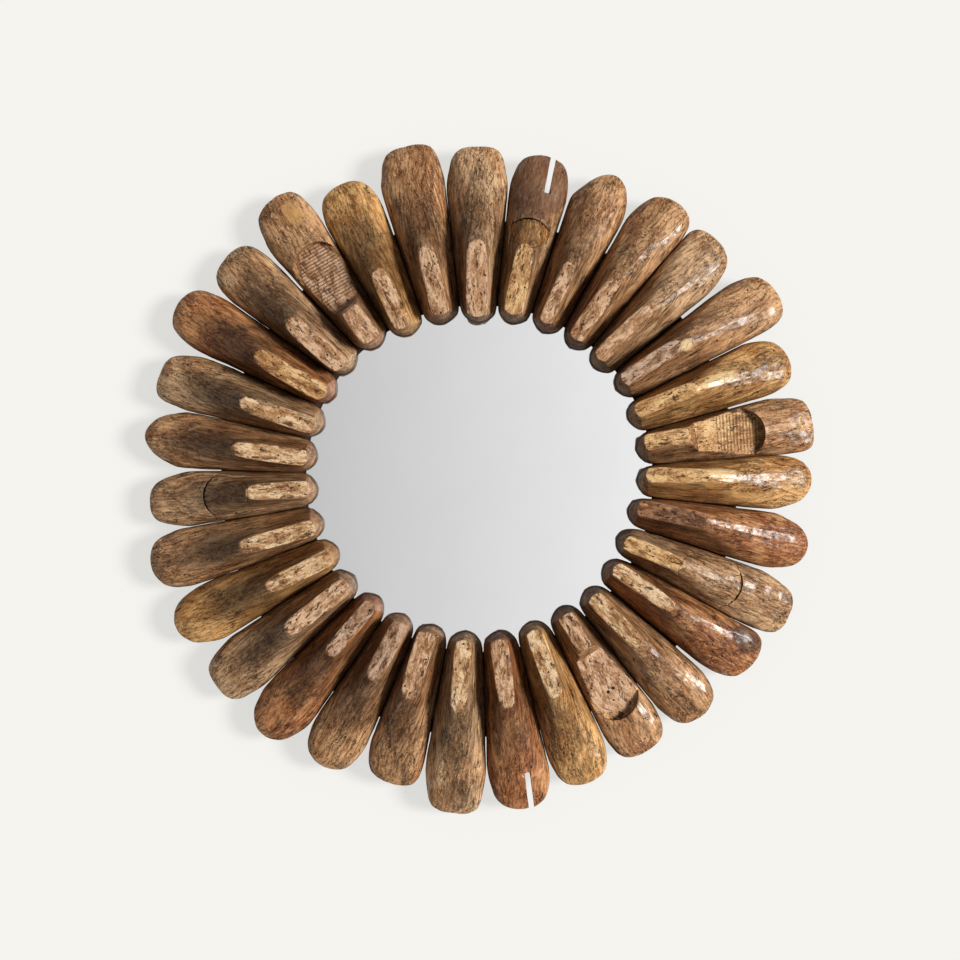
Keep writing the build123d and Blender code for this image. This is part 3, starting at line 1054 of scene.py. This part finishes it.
class Backing:
    """The glass, the boards behind the lasts and the metalwork on the wall's side."""

    FIXING_RADII = (292.0 * MM, 356.0 * MM)
    HANGER_X = 160.0 * MM
    HANGER_Z = 200.0 * MM
    PLATE_SCREW_HALF_SPACING = 24.0 * MM
    PLATE_SCREW = (3.3 * MM, 1.75 * MM, 11.0 * MM, 0.0)
    FIXING_SCREW = (4.4 * MM, 2.2 * MM, 6.0 * MM, 0.3 * MM)
    SHARP_FROM = math.radians(35)
    BOARD_TONES = ((0.33, 0.205, 0.115), (0.20, 0.115, 0.060))
    # The spacer ring's stain is made very dark, partly as painted shade for the gaps between the
    # lasts where it shows.
    RING_TONES = ((0.075, 0.042, 0.025), (0.035, 0.018, 0.010))
    ZINC = (0.60, 0.60, 0.585)
    DARK_STEEL = (0.42, 0.40, 0.36)
    STEEL_SHADE = 0.62

    def __init__(self, nodes: dict[str, bpy.types.Object], turns: list[float]) -> None:
        """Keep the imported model's objects and each last's turn round the ring."""
        self.nodes = nodes
        self.turns = turns

    def dress(self) -> None:
        """Give every piece of the backing its material, and add the screws."""
        self._paint("mirror_glass", self._silvered())
        self._paint("back_board", self._fibreboard("board_brown", *self.BOARD_TONES))
        # Painted shade: the ring's dark tones also stand in for the shade in the gaps between the
        # lasts.
        self._paint("spacer_ring", self._fibreboard("ring_stained", *self.RING_TONES))
        self._paint("glue_pads", self._adhesive())
        steel = self._steel("zinc_plated", self.ZINC)
        self._paint("hanger_plate_left", steel)
        self._paint("hanger_plate_right", steel)
        dark_steel = self._steel("screw_steel", self.DARK_STEEL)
        plate = [
            Screw(x, self.HANGER_Z + z, *self.PLATE_SCREW)
            for x in (-self.HANGER_X, self.HANGER_X)
            for z in (-self.PLATE_SCREW_HALF_SPACING, self.PLATE_SCREW_HALF_SPACING)
        ]
        made = self._screws("plate_screws_turned", plate, dark_steel)
        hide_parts("plate_screws")
        fixing = [
            Screw(radius * math.sin(turn), radius * math.cos(turn), *self.FIXING_SCREW)
            for turn in self.turns
            for radius in self.FIXING_RADII
        ]
        self._screws("last_fixing_screws", fixing, dark_steel)

    def _paint(self, node: str, material: bpy.types.Material) -> None:
        """Put a material in every slot of a solid's object.

        Args:
            node: the solid's name.
            material: the material.
        """
        target = self.nodes[node]
        if not target.material_slots:
            target.data.materials.append(material)
        for slot in target.material_slots:
            slot.material = material

    def _screws(self, name: str, screws: list[Screw],
                material: bpy.types.Material) -> bpy.types.Object:
        """Build several screws as one piece.

        Args:
            name: the piece's name.
            screws: where they are and how large.
            material: their steel.

        Returns:
            The piece.
        """
        shape = bmesh.new()
        for screw in screws:
            screw.add(shape)
        bmesh.ops.recalc_face_normals(shape, faces=shape.faces)
        mesh = bpy.data.meshes.new(name)
        shape.to_mesh(mesh)
        shape.free()
        mesh.shade_smooth()
        mesh.set_sharp_from_angle(angle=self.SHARP_FROM)
        mesh.materials.append(material)
        made = bpy.data.objects.new(name, mesh)
        bpy.context.scene.collection.objects.link(made)
        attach(made, "root")
        return made

    @staticmethod
    def _silvered() -> bpy.types.Material:
        """Silvered glass, with a breath of unevenness.

        Returns:
            The material.
        """
        bench = Bench("silvered_glass")
        haze = bench.clouds(bench.place(), 9.0, 3.0, 0.5)
        colour = bench.mix(haze.step(0.3, 0.7), (0.945, 0.95, 0.945), (0.93, 0.935, 0.93))
        return bench.finish(colour, 0.02 + haze * 0.02, None, Metallic=1.0)

    @staticmethod
    def _fibreboard(name: str, light: Colour, deep: Colour) -> bpy.types.Material:
        """Pressed fibreboard: short pale fibres in a brown ground.

        Args:
            name: the finish's name.
            light: the fibres' colour.
            deep: the ground's colour.

        Returns:
            The material.
        """
        bench = Bench(name)
        place = bench.place()
        fibres = bench.clouds(bench.scaled(place, (260.0, 900.0, 700.0)), 1.0, 4.0, 0.7, 1.2)
        mottle = bench.clouds(place, 24.0, 4.0, 0.6)
        colour = bench.mix(fibres.step(0.38, 0.64), deep, light)
        colour = bench.mix(mottle.step(0.42, 0.70) * 0.35, colour, deep)
        normal = bench.bump(fibres, 0.25 * MM, 0.6)
        return bench.finish(colour, 0.82 + (mottle - 0.5) * 0.2, normal, Specular_IOR_Level=0.25)

    @staticmethod
    def _adhesive() -> bpy.types.Material:
        """Soft white mounting pads with an open-celled face.

        Returns:
            The material.
        """
        bench = Bench("foam_adhesive")
        foam = bench.cells(bench.place(), 900.0)
        colour = bench.mix(foam.step(0.2, 0.6), (0.80, 0.80, 0.78), (0.62, 0.62, 0.60))
        return bench.finish(colour, 0.9, bench.bump(foam, 0.1 * MM, 0.5))

    def _steel(self, name: str, tone: Colour) -> bpy.types.Material:
        """Plated steel, brushed and a little dulled.

        Args:
            name: the finish's name.
            tone: the clean metal's colour.

        Returns:
            The material.
        """
        bench = Bench(name)
        place = bench.place()
        brushed = bench.clouds(bench.scaled(place, (1400.0, 200.0, 60.0)), 1.0, 3.0, 0.6)
        dull = bench.clouds(place, 160.0, 4.0, 0.6)
        shade = tuple(part * self.STEEL_SHADE for part in tone)
        colour = bench.mix(dull.step(0.48, 0.72) * 0.7, tone, shade)
        rough = 0.26 + (brushed - 0.5) * 0.25 + dull.step(0.5, 0.7) * 0.2
        return bench.finish(colour, rough, bench.bump(brushed, 0.05 * MM, 0.5), Metallic=1.0)


class Studio:
    """The pale wall, the lamps, the card that the glass mirrors and the camera."""

    PIXEL = 1.49 * MM
    FRAME_PIXELS = 960
    CENTRE_PIXEL = (479.5, 478.5)
    CAMERA_DISTANCE = 2.9
    TOE_PLANE = 0.035
    SENSOR = 36.0
    CARD_DISTANCE = 4.6
    CLIP_END = 30.0
    CARD_HALF_SIDE = 0.80
    CARD_REACH = 0.68
    CARD_LEFT, CARD_RIGHT = (0.57, 0.57, 0.57), (0.89, 0.89, 0.89)
    KEY_RISE = math.radians(41)
    KEY_FALL = 0.04
    KEY_STRENGTH = 3.65
    KEY_SOFTNESS = math.radians(18)
    KEY_TONE = (1.0, 0.99, 0.97)
    ROOM_LEVEL = 0.24
    ROOM_TONE = (0.96, 0.97, 1.0, 1.0)
    WALL_HALF_SIDE = 4.0
    WALL_Y = 0.5 * MM
    WALL_TONE = (0.913, 0.905, 0.871, 1.0)
    WALL_GLOW = 0.74

    def wall(self) -> None:
        """Hang the mirror on a pale wall that can't be seen from behind."""
        wall = self._upright("wall", self.WALL_HALF_SIDE, self.WALL_Y)
        bench = Bench("painted_wall")
        paint = bench.node("ShaderNodeBsdfDiffuse", {}, {"Color": self.WALL_TONE})
        glow = bench.node("ShaderNodeEmission", {}, {"Color": self.WALL_TONE, "Strength": 1.0})
        seen = bench.node("ShaderNodeLightPath", {}, {}, "Is Camera Ray")
        shown = bench.node("ShaderNodeMixShader", {}, {0: seen * self.WALL_GLOW, 1: paint, 2: glow})
        clear = bench.node("ShaderNodeBsdfTransparent", {}, {})
        behind = bench.node("ShaderNodeNewGeometry", {}, {}, "Backfacing")
        bench.node_output(bench.node("ShaderNodeMixShader", {}, {0: behind, 1: shown, 2: clear}))
        wall.data.materials.append(bench.material)

    def card(self) -> None:
        """Stand a grey card behind the camera that only reflections see."""
        card = self._upright("card", self.CARD_HALF_SIDE, -self.CARD_DISTANCE)
        bench = Bench("grey_card")
        across = bench.separate(bench.place())[0]
        share = (across * (0.5 / self.CARD_REACH) + 0.5).clamped()
        tone = bench.mix(share, self.CARD_LEFT, self.CARD_RIGHT)
        bench.node_output(bench.node("ShaderNodeEmission", {}, {"Color": tone, "Strength": 1.0}))
        card.data.materials.append(bench.material)
        card.visible_camera = False
        card.visible_diffuse = False
        card.visible_shadow = False
        card.visible_transmission = False

    @staticmethod
    def _upright(name: str, size: float, y: float) -> bpy.types.Object:
        """Stand a square sheet upright, as part of the stage.

        Args:
            name: the sheet's name.
            size: half the length of its side.
            y: its place in depth.

        Returns:
            The sheet, which faces the room.
        """
        shape = bmesh.new()
        bmesh.ops.create_grid(shape, x_segments=1, y_segments=1, size=size,
                              matrix=Matrix.Rotation(math.radians(90), 4, "X"))
        mesh = bpy.data.meshes.new(name)
        shape.to_mesh(mesh)
        shape.free()
        sheet = bpy.data.objects.new(name, mesh)
        sheet.location = (0.0, y, 0.0)
        bpy.context.scene.collection.objects.link(sheet)
        return sheet

    def lamps(self) -> None:
        """Light from the right, low over the wall, and a weak even room light."""
        data = bpy.data.lights.new("key", "SUN")
        data.energy = self.KEY_STRENGTH
        data.angle = self.KEY_SOFTNESS
        data.color = self.KEY_TONE
        lamp = bpy.data.objects.new("key", data)
        travel = Vector((-math.cos(self.KEY_RISE), math.sin(self.KEY_RISE), -self.KEY_FALL))
        lamp.rotation_euler = travel.to_track_quat("-Z", "Y").to_euler()
        bpy.context.scene.collection.objects.link(lamp)
        world = bpy.data.worlds.new("room")
        world.use_nodes = True
        sky = world.node_tree.nodes["Background"]
        sky.inputs["Color"].default_value = self.ROOM_TONE
        sky.inputs["Strength"].default_value = self.ROOM_LEVEL
        bpy.context.scene.world = world

    def camera(self) -> None:
        """Stand the camera straight in front, with the photograph's framing."""
        data = bpy.data.cameras.new("camera")
        data.sensor_width = self.SENSOR
        width = self.FRAME_PIXELS * self.PIXEL
        data.lens = self.SENSOR * (self.CAMERA_DISTANCE - self.TOE_PLANE) / width
        data.clip_end = self.CLIP_END
        camera = bpy.data.objects.new("camera", data)
        middle = self.FRAME_PIXELS / 2
        right = (middle - self.CENTRE_PIXEL[0]) * self.PIXEL
        up = (self.CENTRE_PIXEL[1] - middle) * self.PIXEL
        camera.location = (right, -self.CAMERA_DISTANCE, up)
        camera.rotation_euler = (math.radians(90), 0.0, 0.0)
        bpy.context.scene.collection.objects.link(camera)
        bpy.context.scene.camera = camera


def main() -> None:
    """Build every piece in order."""
    logging.basicConfig(level=logging.INFO, format="%(message)s")
    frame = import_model()
    pieces = Ring().pieces()
    for piece in pieces:
        made = piece.build(frame["nodes"])
        LOG.info("%s: %d faces", piece.node, len(made.data.polygons))
    Backing(frame["nodes"], [piece.turn for piece in pieces if not piece.block]).dress()
    studio = Studio()
    studio.wall()
    studio.card()
    studio.lamps()
    studio.camera()
    bpy.context.scene.view_settings.view_transform = "Standard"


if __name__ == "__main__":
    main()
